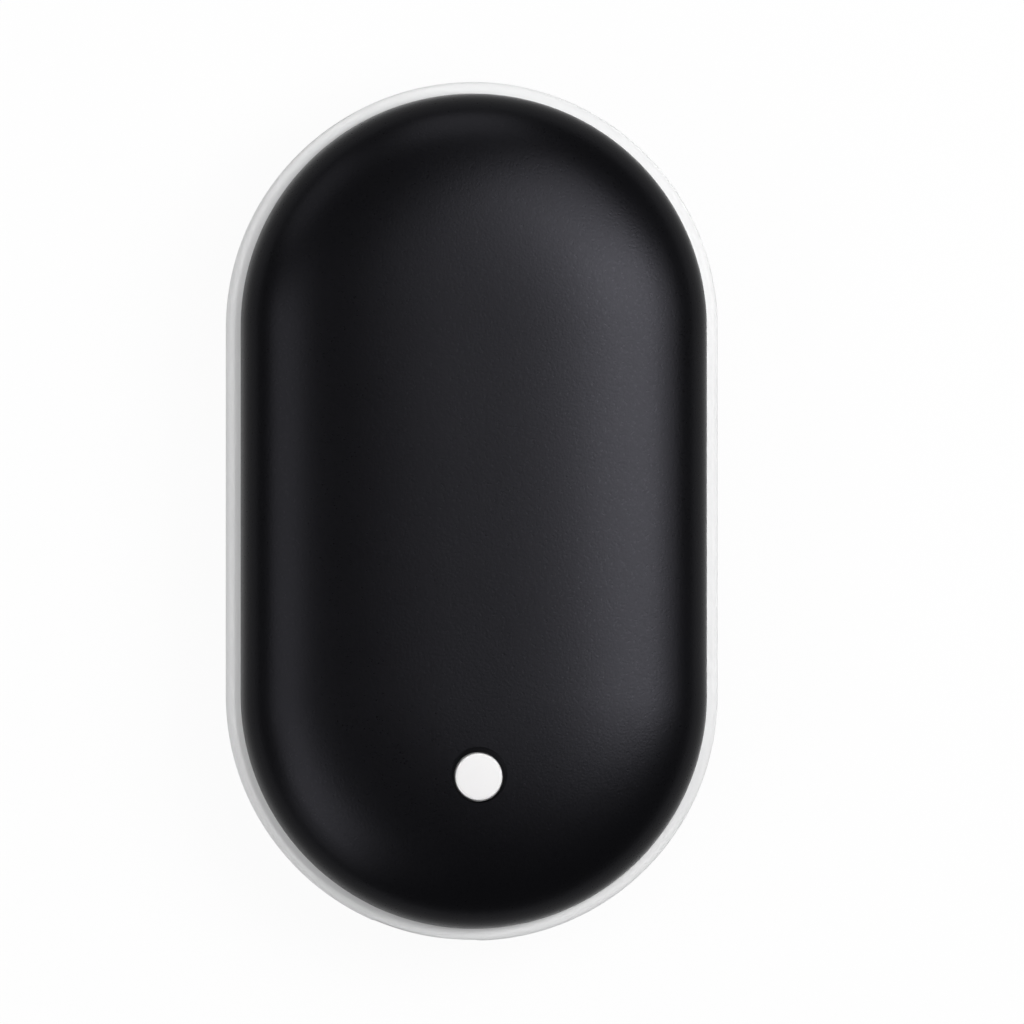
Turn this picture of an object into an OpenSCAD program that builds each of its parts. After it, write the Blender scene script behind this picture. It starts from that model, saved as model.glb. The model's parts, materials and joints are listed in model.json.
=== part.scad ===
// Rechargeable hand warmer, pebble shaped: two domed shells on a white band, one button on the
// front, two cells, a heating film behind each shell and a circuit board with two ports.
// X runs across the width, Y along the length and Z up through the front.
// The origin is the middle of the back, which is flat there. The ports are at the low Y end.

/* [Body] */
// Length of the whole warmer, end to end
body_l = 105; // [104:1:125]
// Width of the whole warmer, side to side
body_w = 60; // [58:1:70]
// Thickness from the flat of the back to the flat of the front
body_t = 26; // [25.5:0.5:32]

/* [Band] */
// Height of the white band between the two shells
band_h = 7; // [6.6:0.1:9]
// Depth of the band, from its outer side to its inner side
band_depth = 3.8; // [3.5:0.1:4.4]
// Step from the band's outer side in to the edge of each shell
ledge_w = 1.45; // [1.3:0.05:1.7]
// Rounding of the band's two outer corners
band_round = 1.2; // [0.6:0.1:1.3]
// Height of the lip that stands inside the edge of each shell
lip_h = 1.8; // [1.4:0.1:2.4]

/* [Shells] */
// Wall of each metal shell
shell_wall = 0.9; // [0.7:0.1:1.1]
// Radius of the shoulder, where the shell turns down to the band
shoulder_r = 8; // [6:0.25:8.75]
// Half width of the flat strip along the middle of each shell
plateau_half = 5; // [3:0.5:8]

/* [Button] */
// Diameter of the button's cap
button_d = 5.8; // [5:0.2:7]
// Distance from the back of the output port to the button's centre
button_in = 3.6; // [2.8:0.1:4.8]
// Gap round the cap in the hole of the front shell
button_gap = 0.52; // [0.3:0.02:0.7]
// How far the button goes down when it is pressed
button_travel = 0.3; // [0.2:0.05:0.4]
// Height of the cap's face over the shell beside it
button_proud = 0.1; // [0:0.05:0.5]

/* [Battery] */
// Diameter of each cell without its sleeve
cell_d = 18.3; // [17.5:0.1:18.4]
// Gap between the far ends of the cells and the inner side of the band
cell_end_gap = 0.78; // [0.6:0.02:2]

/* [Heating] */
// Thickness of each heating film
film_t = 0.15; // [0.1:0.05:0.25]
// Width of one run of the heating track
track_w = 2.2; // [1.6:0.1:2.8]
// Number of runs of the heating track
track_runs = 8; // [4:2:8]

/* [Board] */
// Thickness of the circuit board
board_t = 1.2; // [1:0.1:1.6]
// Width of the push switch under the button
switch_w = 5.2; // [4.5:0.1:5.4]

/* [Ports] */
// Width of the wide output port
out_w = 13.1; // [12.9:0.1:13.3]
// Height of the wide output port
out_h = 5.7; // [5.5:0.1:5.9]
// Depth of the wide output port
out_l = 13.5; // [11.5:0.5:13.5]
// Width of the round ended charging port
in_w = 8.94; // [8.6:0.02:9.2]
// Height of the round ended charging port
in_h = 3.16; // [3:0.02:3.4]
// Depth of the round ended charging port
in_l = 7.3; // [6.5:0.1:8]

/* [Hidden] */
$fn = 96;

// Shared values: the overrun of a cut, and the gap where two seated pieces face each other
over = 1;
touch = 0.05;

// Body outline: the round ends turn about (0, end_y) and (0, -end_y)
mid_z = body_t / 2;
half_w = body_w / 2;
end_y = (body_l - body_w) / 2;
near_end_y = -body_l / 2;
rim_z = mid_z + band_h / 2;

// Places along the body: the ports' mouths lie just inside the band's outer face where the wider
// port comes nearest to it, the button stands behind the output port, and the bulkhead behind both
out_x = -5.6;
in_x = 7.6;
port_inset = 0.33;
port_corner_x = max(out_w / 2 - out_x, in_x + in_w / 2);
port_y = port_inset - end_y - sqrt(pow(half_w, 2) - pow(port_corner_x, 2));
port_set = port_y - near_end_y;
button_y = port_y + out_l + button_in;
bay_behind = 5.3;
wall_t = 1.2;
bulkhead_y = button_y + bay_behind + wall_t;
bulk_mid_y = bulkhead_y - wall_t / 2;

// Dome of a shell: flat strip, wide crown arc and tight shoulder arc, all tangent
shell_half_w = half_w - ledge_w;
shell_h = body_t - rim_z;
shoulder_share = 0.85;
shoulder = min(shoulder_r, shoulder_share * shell_h);
shoulder_x = shell_half_w - shoulder;
crown_span = shoulder_x - plateau_half;
crown_r = (pow(crown_span, 2) + pow(shell_h, 2) - pow(shoulder, 2)) / (2 * (shell_h - shoulder));
join_sin = crown_span / (crown_r - shoulder);

// Band and what it carries
band_in = half_w - band_depth;
lip_gap = 0.15;
lip_out = shoulder_x + sqrt(pow(shoulder - shell_wall, 2) - pow(lip_h, 2)) - lip_gap;
bead_gap = 0.03;
bead_top_gap = 0.3;
embed = 0.5;
rib_gap = 0.9;
rib_t = 2;
rib_over = 1;
spine_half = 2;
spine_base = 3.2;
rib_shares = [0.18, 0.5, 0.82];

// Cells, side by side, between the bulkhead and the far end of the band
cell_r = cell_d / 2;
sleeve_gap = 0.03;
sleeve_t = 0.09;
sleeve_in = cell_r + sleeve_gap;
cell_out_r = sleeve_in + sleeve_t;
cell_apart = 0.26;
cell_x = cell_out_r + cell_apart / 2;
pack_half_w = cell_x + cell_out_r;
nub_r = 3.2;
nub_h = 0.45;
strip_t = 0.15;
strip_room = 0.7;
pos_strip_y = bulkhead_y + strip_room + strip_t;
cell_near_y = pos_strip_y + nub_h;
cell_far_y = end_y + sqrt(pow(band_in, 2) - pow(pack_half_w, 2)) - cell_end_gap;
cell_l = cell_far_y - cell_near_y;
saddle_gap = 0.12;
saddle_r = cell_out_r + saddle_gap;
rib_top = mid_z + saddle_r + rib_over;
ring_t = 0.25;
ring_in_r = 4;
ring_edge = 0.35;
ring_out_r = cell_r - ring_edge;
sleeve_turn = 1.4;
strip_h = 8;
strip_past = 4;
tab_w = 3;
tab_drop = 2.6;
tab_x = 3.5;
strip_gap = 0.02;
neg_strip_y = cell_far_y + sleeve_t + strip_gap;
far_wall_y = neg_strip_y + strip_t + strip_room;

// Heating film, track and foam lie under the dome at these depths below its outer face
film_off = shell_wall + touch;
film_far = film_off + film_t;
track_t = 0.05;
track_far = film_far + track_t;
foam_off = track_far + touch;
film_margin = 11.5;
film_r = shell_half_w - film_margin;
film_near_y = pos_strip_y;
foam_r = film_r - track_w;
track_span_share = 0.77;
term_x = track_span_share * film_r;
track_pitch = 2 * term_x / (track_runs - 1);
track_edge = 1;
track_near_y = film_near_y + 2 * track_w;
heater_start_y = track_near_y + track_w;
foam_behind = 2.65;
foam_near_y = heater_start_y + foam_behind;
track_reach = film_r - track_edge;
foam_seat = 0.15;

// Temperature beads in slots of the foam
bead_r = 0.6;
bead_l = 2.5;
bead_in = 6.3;
bead_x = term_x - bead_in;
bead_y = 6;
slot_w = 2.2;

// Button, its hole, guide and switch
button_reach = max(-button_y - end_y, plateau_half);
dome_at_button = sqrt(pow(crown_r, 2) - pow(button_reach - plateau_half, 2)) - crown_r;
button_face_z = body_t + dome_at_button;
hole_r = button_d / 2 + button_gap;
hole_chamfer = 0.25;
cap_top_z = button_face_z + button_proud;
cap_round = 0.4;
flange_gap = 0.45;
flange_top_z = button_face_z - shell_wall - flange_gap;
flange_t = 0.8;
flange_rim = 1.4;
flange_r = button_d / 2 + flange_rim;
stem_r = 2;
stem_gap = 0.03;
guide_r = 3.4;
guide_gap = 0.2;
guide_top_z = flange_top_z - flange_t - button_travel - guide_gap;

// Board and the deck over it
board_drop = 0.4;
board_top = mid_z - board_drop;
board_low = board_top - board_t;
board_gap = 0.4;
board_r = band_in - board_gap;
board_near_bulk = 0.8;
board_edge_y = bulkhead_y - wall_t - board_near_bulk;
deck_over = 1.05;
deck_z = mid_z + out_h / 2 + deck_over;
deck_t = 1.2;
wire_x0 = 10.2;
wire_x1 = 15.4;
wire_l = 4;
notch_depth = 4.5;
switch_h = 3.2;
switch_floor = 0.6;
switch_pocket_r = 1.9;
cover_t = 0.2;
plunger_r = 1.3;
plunger_foot_r = 1.7;
plunger_h = 4.6;
plunger_top_z = board_top + plunger_h;
snap_h = 0.5;
snap_t = 0.08;
snap_r = 1.7;
snap_ball = (pow(snap_r, 2) + pow(snap_h, 2)) / (2 * snap_h);

// Ports, which stand in windows of the band
port_gap = 0.12;
port_sheet = 0.3;
out_block_l = 4;
out_block_gap = 0.05;
out_tongue_side = 1;
out_tongue_w = out_w - 2 * out_tongue_side;
out_tongue_t = 1.84;
out_tongue_set = 1.5;
out_tongue_low = 0.1;
out_pin_w = 1;
out_pin_t = 0.2;
out_pin_in = 1;
out_pin_out = 3.5;
out_pin_set = 1;
in_block_l = 2;
in_tongue_w = 6.7;
in_tongue_t = 0.7;
in_tongue_set = 1;
in_pins = 12;
in_pin_pitch = 0.5;
in_pin_w = 0.25;
in_pin_t = 0.06;
in_pin_set = 0.8;

// Board screws and their bosses
boss_x = 17.5;
boss_back = 3.5;
boss_r = 1.8;
screw_r = 0.8;
screw_gap = 0.06;
screw_l = 3.6;
head_r = 1.5;
head_h = 0.9;
head_slot_w = 0.4;
board_hole_r = 1;

// Parts soldered on the board, placed from the button's centre
chip_w = 5;
chip_h = 0.9;
chip_x = 8.6;
chip_back = 1.2;
chip_low_y = button_y - chip_back - chip_w / 2;
fet_w = 1.6;
fet_l = 2.9;
fet_h = 1.1;
fet_x = 13.6;
fet_back = 1.3;
fet_step = 4.7;
coil_w = 5.4;
coil_h = 3;
coil_x = -8.6;
coil_ahead = 0.5;
coil_core_r = 2.2;
coil_core_up = 0.2;
cap_w = 1.25;
cap_l = 2;
cap_x = 5.9;
cap_step = 1.9;
cap_ahead = 2.9;
res_w = 0.8;
res_l = 1.6;
res_h = 0.45;
res_x = 16.4;
res_step_x = 2.1;
res_step_y = 1.5;
res_ahead = 2.9;
led_w = 0.8;
led_l = 1.6;
led_h = 0.6;
led_x = 4.3;
led_ahead = 1.5;

// Places of the bosses: two beside the button, one between the charging port's back and the chip
port_back_y = port_y + in_l;
boss_between_share = 0.44;
boss_places = [[-boss_x, button_y - boss_back], [boss_x, button_y - boss_back],
    [in_x, port_back_y + boss_between_share * (chip_low_y - port_back_y)]];

// Leads: diameters, where they start and land, and how they are swept
power_lead_d = 1.3;
heater_lead_d = 1;
sense_lead_d = 0.9;
lead_sides = 8;
lead_steps = 2;
land_ahead = 2.3;
land_y = button_y + land_ahead;
sense_ahead = 0.6;
sense_land_x = 11.2;
heater_land_x = 13.3;
sense_land_y = land_y + sense_ahead;
tab_low_z = mid_z - strip_h / 2 - tab_drop;
battery_ahead = 1.5;
battery_land_y = button_y + battery_ahead;
groove_z = mid_z - cell_out_r - foam_seat + power_lead_d / 2 + 4 * touch;

// Colours
shell_black = [0.15, 0.15, 0.17];
band_white = [0.93, 0.93, 0.92];
film_amber = [0.80, 0.48, 0.14];
foil_grey = [0.62, 0.60, 0.58];
foam_grey = [0.34, 0.34, 0.36];
sleeve_blue = [0.16, 0.38, 0.62];
steel = [0.74, 0.75, 0.77];
nickel = [0.80, 0.79, 0.74];
board_green = [0.07, 0.32, 0.18];
chip_black = [0.10, 0.10, 0.11];
contact_gold = [0.85, 0.68, 0.32];
seal_grey = [0.55, 0.55, 0.56];
ceramic_tan = [0.72, 0.60, 0.44];

function unit(v) = v / norm(v);

// Where the crown arc meets the shoulder arc, for a dome drawn inwards by off
function join_x(off) = shoulder_x + (shoulder - off) * join_sin;

// Height over the back of a place that lies depth under the flat of the front or of the back
function level(front, depth) = front ? body_t - depth : depth;

// Depth of the dome's crown arc at a distance from the middle line
function crown_drop(x) = crown_r - sqrt(pow(crown_r, 2) - pow(max(x - plateau_half, 0), 2));

// One point of a smooth curve between b and c, with a before and d after them
function curve_point(a, b, c, d, t) =
    (2 * b + (c - a) * t + (2 * a - 5 * b + 4 * c - d) * t * t + (3 * b - a - 3 * c + d) * t * t * t) / 2;

function smooth(route) = let (last = len(route) - 1)
    [for (i = [0:last - 1], s = [0:lead_steps - 1])
        curve_point(route[max(i - 1, 0)], route[i], route[i + 1], route[min(i + 2, last)], s / lead_steps),
     route[last]];

// A side vector for each ring, carried along the path so that the tube doesn't twist
function carried(along, side, i = 0, done = []) = i == len(along) ? done :
    let (kept = unit(side - (side * along[i]) * along[i]))
    carried(along, kept, i + 1, concat(done, [kept]));

// A round lead of diameter d, swept along a smooth curve through its route
module lead(route, d) {
    path = smooth(route);
    last = len(path) - 1;
    tail = len(route) - 1;
    along = [for (i = [0:last])
        i == 0 ? unit(route[1] - route[0])
        : i == last ? unit(route[tail] - route[tail - 1])
        : unit(path[i + 1] - path[i - 1])];
    across = carried(along, [1, 0, 0]);
    rings = [for (i = [0:last], k = [0:lead_sides - 1])
        let (turn = 360 * k / lead_sides, up = cross(along[i], across[i]))
        path[i] + d / 2 * (cos(turn) * across[i] + sin(turn) * up)];
    walls = [for (i = [0:last - 1], k = [0:lead_sides - 1])
        let (here = i * lead_sides, there = here + lead_sides, next = (k + 1) % lead_sides)
        each [[here + k, there + k, there + next], [here + k, there + next, here + next]]];
    first_face = [for (k = [0:lead_sides - 1]) k];
    last_face = [for (k = [lead_sides - 1:-1:0]) last * lead_sides + k];
    polyhedron(points = rings, faces = concat(walls, [first_face, last_face]));
}

// A profile drawn as (distance from the middle line, height), carried round the body's outline
module track() {
    translate([0, end_y, 0])
        rotate_extrude(angle = 180) children();
    translate([0, -end_y, 0])
        rotate([0, 0, 180])
            rotate_extrude(angle = 180) children();
    for (side = [0, 1])
        mirror([side, 0, 0])
            translate([0, end_y, 0])
                rotate([90, 0, 0])
                    linear_extrude(height = 2 * end_y) children();
}

// Puts a piece made for the front on the back
module on_back() {
    translate([0, 0, body_t])
        mirror([0, 0, 1]) children();
}

// Half section of a dome, drawn inwards of its outer face by off, from the shell's edge up
module dome_profile(off = 0) {
    square([plateau_half, shell_h - off]);
    intersection() {
        translate([plateau_half, shell_h - crown_r])
            circle(r = crown_r - off, $fn = 5 * $fn);
        translate([plateau_half, 0])
            square([join_x(off) - plateau_half, shell_h]);
    }
    intersection() {
        translate([shoulder_x, 0])
            circle(r = shoulder - off);
        translate([join_x(off), 0])
            square([shell_half_w - join_x(off) + over, shell_h]);
    }
}

// Half section of a layer between two depths under the dome, out to the distance r
module layer_profile(near, far, r) {
    difference() {
        intersection() {
            dome_profile(near);
            square([r, shell_h + over]);
        }
        dome_profile(far);
    }
}

// A round ended slot, drawn across the ports
module slot_profile(w, h) {
    square([w - h, h], center = true);
    for (s = [-1, 1])
        translate([s * (w - h) / 2, 0])
            intersection() {
                circle(r = h / 2);
                translate([s * h / 2, 0])
                    square([h, 2 * h], center = true);
            }
}

// One domed shell, with its edge standing on the band
module dome_shell() {
    translate([0, 0, rim_z])
        track()
            difference() {
                dome_profile();
                dome_profile(shell_wall);
            }
}

module front_shell() {
    color(shell_black)
        difference() {
            dome_shell();
            translate([0, button_y, rim_z])
                cylinder(h = shell_h + over, r = hole_r);
            translate([0, button_y, button_face_z - hole_chamfer])
                cylinder(h = over, r1 = hole_r, r2 = hole_r + over);
        }
}

module back_shell() {
    color(shell_black)
        on_back() dome_shell();
}

// Silicone bead between a lip and the shell round it
module seal_bead() {
    color(seal_grey)
        translate([0, 0, rim_z])
            track()
                intersection() {
                    dome_profile(shell_wall + bead_gap);
                    translate([lip_out + bead_gap, 0])
                        square([shell_half_w, lip_h - bead_top_gap]);
                }
}

// The room inside the shells and the band that ribs and walls may fill
module inner_space() {
    translate([0, 0, rim_z])
        track() dome_profile(shell_wall + rib_gap);
    translate([0, 0, mid_z - band_h / 2])
        track() square([band_in + embed, band_h]);
}

module band_profile() {
    flat_w = band_depth - band_round;
    translate([band_in, -band_h / 2])
        square([flat_w, band_h]);
    translate([half_w - band_round, band_round - band_h / 2])
        square([band_round, band_h - 2 * band_round]);
    for (s = [-1, 1])
        translate([half_w - band_round, s * (band_h / 2 - band_round)])
            intersection() {
                circle(r = band_round);
                translate([0, s > 0 ? 0 : -band_round - over])
                    square(band_round + over);
            }
    translate([band_in, -band_h / 2 - lip_h])
        square([lip_out - band_in, band_h + 2 * lip_h]);
}

// A slab across the inner space, from y to y + t and between two heights
module cross_slab(y, t, low, high) {
    translate([-half_w, y, low])
        cube([body_w, t, high - low]);
}

module cell_saddles() {
    span = cell_far_y - cell_near_y;
    difference() {
        for (share = rib_shares)
            cross_slab(cell_near_y + share * span - rib_t / 2, rib_t, mid_z, rib_top);
        for (s = [-1, 1])
            translate([s * cell_x, cell_far_y, mid_z])
                rotate([90, 0, 0])
                    cylinder(h = span, r = saddle_r);
        translate([-spine_half, cell_near_y, mid_z - over])
            cube([2 * spine_half, span, spine_base + over]);
    }
}

module middle_frame() {
    bore_r = stem_r + stem_gap;
    deck_l = bulkhead_y - near_end_y - wall_t / 2;
    color(band_white)
        difference() {
            union() {
                translate([0, 0, mid_z])
                    track() band_profile();
                intersection() {
                    inner_space();
                    union() {
                        cell_saddles();
                        cross_slab(far_wall_y, wall_t, mid_z - band_h / 2, rib_top);
                        cross_slab(bulkhead_y - wall_t, wall_t, mid_z - band_h / 2, rib_top);
                        cross_slab(near_end_y, deck_l, deck_z, deck_z + deck_t);
                    }
                }
                for (place = boss_places)
                    translate([place[0], place[1], board_top])
                        cylinder(h = deck_z - board_top + deck_t / 2, r = boss_r);
                translate([0, button_y, deck_z + deck_t / 2])
                    cylinder(h = guide_top_z - deck_z - deck_t / 2, r = guide_r);
            }
            translate([0, button_y, deck_z - over])
                cylinder(h = guide_top_z - deck_z + 2 * over, r = bore_r);
            for (place = boss_places)
                translate([place[0], place[1], board_top - over])
                    cylinder(h = screw_l + over, r = screw_r + screw_gap);
            for (s = [-1, 1]) {
                translate([s * (wire_x0 + wire_x1) / 2, bulkhead_y - wall_t - wire_l / 2, deck_z])
                    cube([wire_x1 - wire_x0, wire_l, 4 * deck_t], center = true);
                translate([s * (wire_x0 + wire_x1) / 2, bulk_mid_y, body_t - notch_depth + body_t / 2])
                    cube([wire_x1 - wire_x0, 2 * wall_t, body_t], center = true);
            }
            translate([out_x - out_w / 2 - port_gap, near_end_y - over, mid_z - out_h / 2 - port_gap])
                cube([out_w + 2 * port_gap, port_set + out_l + over, out_h + 2 * port_gap]);
            translate([in_x, port_y + in_l, mid_z])
                rotate([90, 0, 0])
                    linear_extrude(height = in_l + port_set + over)
                        slot_profile(in_w + 2 * port_gap, in_h + 2 * port_gap);
        }
}

module button_cap() {
    cap_r = button_d / 2;
    color(band_white)
        translate([0, button_y, 0])
            rotate_extrude() {
                translate([0, plunger_top_z])
                    square([stem_r, flange_top_z - plunger_top_z]);
                translate([0, flange_top_z - flange_t])
                    square([flange_r, flange_t]);
                translate([0, flange_top_z - flange_t])
                    square([cap_r, cap_top_z - cap_round - flange_top_z + flange_t]);
                translate([0, cap_top_z - 2 * cap_round])
                    square([cap_r - cap_round, 2 * cap_round]);
                translate([cap_r - cap_round, cap_top_z - cap_round])
                    intersection() {
                        circle(r = cap_round);
                        square(cap_round + over);
                    }
            }
}

module switch_base() {
    color(chip_black)
        translate([0, button_y, board_top])
            difference() {
                translate([-switch_w / 2, -switch_w / 2, 0])
                    cube([switch_w, switch_w, switch_h]);
                translate([0, 0, switch_floor])
                    cylinder(h = switch_h, r = switch_pocket_r);
            }
}

module switch_cover() {
    color(steel)
        translate([0, button_y, board_top + switch_h])
            difference() {
                translate([-switch_w / 2, -switch_w / 2, 0])
                    cube([switch_w, switch_w, cover_t]);
                translate([0, 0, -over])
                    cylinder(h = cover_t + 2 * over, r = plunger_r + 2 * touch);
            }
}

module switch_plunger() {
    foot_z = board_top + switch_floor + snap_h;
    foot_h = board_top + switch_h - foot_z - touch;
    color(chip_black)
        translate([0, button_y, foot_z]) {
            cylinder(h = foot_h, r = plunger_foot_r);
            cylinder(h = plunger_top_z - foot_z, r = plunger_r);
        }
}

// Thin domed spring that clicks flat when the plunger comes down
module snap_dome() {
    floor_z = board_top + switch_floor;
    color(steel)
        intersection() {
            translate([0, button_y, floor_z + snap_h - snap_ball])
                difference() {
                    sphere(r = snap_ball);
                    sphere(r = snap_ball - snap_t);
                }
            translate([0, button_y, floor_z])
                cylinder(h = over, r = switch_pocket_r);
        }
}

// Heating film bonded under the dome, made for the front
module heater_film() {
    translate([0, 0, rim_z])
        track() layer_profile(film_off, film_far, film_r);
}

// Far end of a pair of track runs, where the wider run of the pair meets the film's round edge
function pair_far_y(i) =
    let (wide = max([for (k = [0, 1]) abs(run_x(2 * floor(i / 2) + k))]) + track_w / 2)
    end_y + sqrt(pow(track_reach, 2) - pow(wide, 2));
function run_x(i) = (i - (track_runs - 1) / 2) * track_pitch;

// Plan of the track: runs along the body, joined in turn at the far end and the near end
module track_plan() {
    for (i = [0:track_runs - 1])
        translate([run_x(i) - track_w / 2, track_near_y])
            square([track_w, pair_far_y(i) - track_near_y]);
    for (i = [0:track_runs - 2])
        translate([run_x(i) - track_w / 2, i % 2 == 0 ? pair_far_y(i) - track_w : track_near_y])
            square([track_pitch + track_w, track_w]);
}

// Foil track on the inner face of a film, made for the front
module heater_track() {
    color(foil_grey)
        intersection() {
            translate([0, 0, rim_z])
                track() layer_profile(film_far, track_far, film_r);
            translate([0, 0, rim_z])
                linear_extrude(height = shell_h)
                    track_plan();
        }
}

module front_heater_film() {
    color(film_amber)
        intersection() {
            heater_film();
            translate([-half_w, film_near_y, rim_z])
                cube([body_w, body_l, shell_h]);
        }
}

module back_heater_film() {
    color(film_amber)
        on_back() heater_film();
}

// Foam pad between a film and what lies at the height base, made for the front
module foam_pad(base) {
    color(foam_grey)
        difference() {
            intersection() {
                translate([0, 0, rim_z])
                    track() dome_profile(foam_off);
                translate([0, 0, base])
                    track() square([foam_r, shell_h]);
            }
            translate([-half_w, near_end_y, 0])
                cube([body_w, foam_near_y - near_end_y, body_t]);
            translate([bead_x - slot_w / 2, near_end_y, 0])
                cube([slot_w, bead_y + bead_l - near_end_y, body_t]);
        }
}

function bead_depth() = foam_off + crown_drop(bead_x) + bead_r + touch;

module thermistor(front) {
    color(seal_grey)
        translate([bead_x, bead_y + bead_l / 2, level(front, bead_depth())])
            rotate([90, 0, 0]) {
                cylinder(h = bead_l, r = bead_r);
                translate([0, 0, -bead_r / 2])
                    cylinder(h = bead_r / 2, r1 = bead_r / 2, r2 = bead_r);
            }
}

// One cell lying along Y, with its raised contact towards the ports
module cell(s) {
    color(steel)
        translate([s * cell_x, cell_far_y, mid_z])
            rotate([90, 0, 0]) {
                cylinder(h = cell_l, r = cell_r);
                cylinder(h = cell_l + nub_h, r = nub_r);
            }
}

// Plastic sleeve shrunk round a cell, turned in over both ends
module sleeve(s) {
    color(sleeve_blue)
        translate([s * cell_x, cell_far_y + sleeve_t, mid_z])
            rotate([90, 0, 0])
                difference() {
                    cylinder(h = cell_l + ring_t + 2 * sleeve_t, r = cell_out_r);
                    translate([0, 0, sleeve_t])
                        cylinder(h = cell_l + ring_t, r = sleeve_in);
                    translate([0, 0, -over])
                        cylinder(h = cell_l + 3 * over, r = cell_r - sleeve_turn);
                }
}

module cell_insulator_rings() {
    color("white")
        for (s = [-1, 1])
            translate([s * cell_x, cell_near_y, mid_z])
                rotate([90, 0, 0])
                    difference() {
                        cylinder(h = ring_t, r = ring_out_r);
                        translate([0, 0, -over])
                            cylinder(h = 3 * over, r = ring_in_r);
                    }
}

// Strip welded across both cells, with its far face at y and a tab for the lead
module nickel_strip(y, x) {
    color(nickel) {
        translate([-cell_x - strip_past, y, mid_z - strip_h / 2])
            cube([2 * (cell_x + strip_past), strip_t, strip_h]);
        translate([x - tab_w / 2, y, tab_low_z])
            cube([tab_w, strip_t, tab_drop + strip_h / 2]);
    }
}

module main_board() {
    color(board_green)
        difference() {
            intersection() {
                translate([0, 0, board_low])
                    track() square([board_r, board_t]);
                translate([-half_w, near_end_y, board_low - over])
                    cube([body_w, board_edge_y - near_end_y, board_t + 2 * over]);
            }
            translate([out_x - out_w / 2 - port_gap, near_end_y, board_low - over])
                cube([out_w + 2 * port_gap, port_set + out_l + port_gap, board_t + 2 * over]);
            translate([in_x - in_w / 2 - port_gap, near_end_y, board_low - over])
                cube([in_w + 2 * port_gap, port_set + in_l + port_gap, board_t + 2 * over]);
            for (place = boss_places)
                translate([place[0], place[1], board_low - over])
                    cylinder(h = board_t + 2 * over, r = board_hole_r);
        }
}

module output_port_shell() {
    color(steel)
        translate([out_x, port_y, mid_z])
            difference() {
                translate([-out_w / 2, 0, -out_h / 2])
                    cube([out_w, out_l, out_h]);
                translate([port_sheet - out_w / 2, -over, port_sheet - out_h / 2])
                    cube([out_w - 2 * port_sheet, out_l - port_sheet + over, out_h - 2 * port_sheet]);
            }
}

module output_port_tongue() {
    block_w = out_w - 2 * (port_sheet + out_block_gap);
    block_h = out_h - 2 * (port_sheet + out_block_gap);
    back_y = out_l - port_sheet - out_block_gap;
    color(band_white)
        translate([out_x, port_y, mid_z]) {
            translate([-block_w / 2, back_y - out_block_l, -block_h / 2])
                cube([block_w, out_block_l, block_h]);
            translate([-out_tongue_w / 2, out_tongue_set, out_tongue_low])
                cube([out_tongue_w, back_y - out_tongue_set, out_tongue_t]);
        }
}

module output_port_contacts() {
    pin_l = out_l - port_sheet - out_block_gap - out_block_l - out_tongue_set - out_pin_set;
    color(contact_gold)
        for (s = [-1, 1], at = [out_pin_in, out_pin_out])
            translate([out_x + s * at - out_pin_w / 2, port_y + out_tongue_set + out_pin_set,
                       mid_z + out_tongue_low - out_pin_t])
                cube([out_pin_w, pin_l, out_pin_t]);
}

// A prism along the charging port, from the depth y for a length l
module charging_prism(y, l, w, h) {
    translate([in_x, port_y + y + l, mid_z])
        rotate([90, 0, 0])
            linear_extrude(height = l)
                slot_profile(w, h);
}

module charging_port_shell() {
    color(steel)
        difference() {
            charging_prism(0, in_l, in_w, in_h);
            charging_prism(-over, in_l - port_sheet + over, in_w - 2 * port_sheet, in_h - 2 * port_sheet);
        }
}

module charging_port_tongue() {
    block_cut = 2 * (port_sheet + touch);
    block_y = in_l - port_sheet - touch - in_block_l;
    color(chip_black) {
        charging_prism(block_y, in_block_l, in_w - block_cut, in_h - block_cut);
        translate([in_x - in_tongue_w / 2, port_y + in_tongue_set, mid_z - in_tongue_t / 2])
            cube([in_tongue_w, block_y + in_block_l / 2 - in_tongue_set, in_tongue_t]);
    }
}

module charging_port_contacts() {
    pin_y = in_tongue_set + in_pin_set;
    pin_l = in_l - port_sheet - touch - in_block_l - pin_y;
    color(contact_gold)
        for (side = [-1, 1], i = [0:in_pins - 1])
            translate([in_x + (i - (in_pins - 1) / 2) * in_pin_pitch, port_y + pin_y + pin_l / 2,
                       mid_z + side * (in_tongue_t + in_pin_t) / 2])
                cube([in_pin_w, pin_l, in_pin_t], center = true);
}

// A flat part soldered on the board with its centre at (x, y)
module on_board(x, y, w, l, h) {
    translate([x - w / 2, y - l / 2, board_top])
        cube([w, l, h]);
}

module controller_chip() {
    color(chip_black)
        on_board(chip_x, button_y - chip_back, chip_w, chip_w, chip_h);
}

module power_switches() {
    color(chip_black)
        for (i = [0, 1])
            on_board(fet_x, button_y - fet_back - i * fet_step, fet_w, fet_l, fet_h);
}

module power_inductor() {
    color(foil_grey) {
        on_board(coil_x, button_y + coil_ahead, coil_w, coil_w, coil_h);
        translate([coil_x, button_y + coil_ahead, board_top])
            cylinder(h = coil_h + coil_core_up, r = coil_core_r);
    }
}

module chip_capacitors() {
    color(ceramic_tan)
        for (i = [0:2])
            on_board(cap_x + i * cap_step, button_y + cap_ahead, cap_w, cap_l, cap_w);
}

module chip_resistors() {
    color(chip_black)
        for (i = [0, 1], j = [0:2])
            on_board(-res_x - i * res_step_x, button_y + res_ahead - j * res_step_y, res_l, res_w, res_h);
}

module status_leds() {
    color("ivory")
        for (s = [-1, 1])
            on_board(s * led_x, button_y + led_ahead, led_w, led_l, led_h);
}

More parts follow.
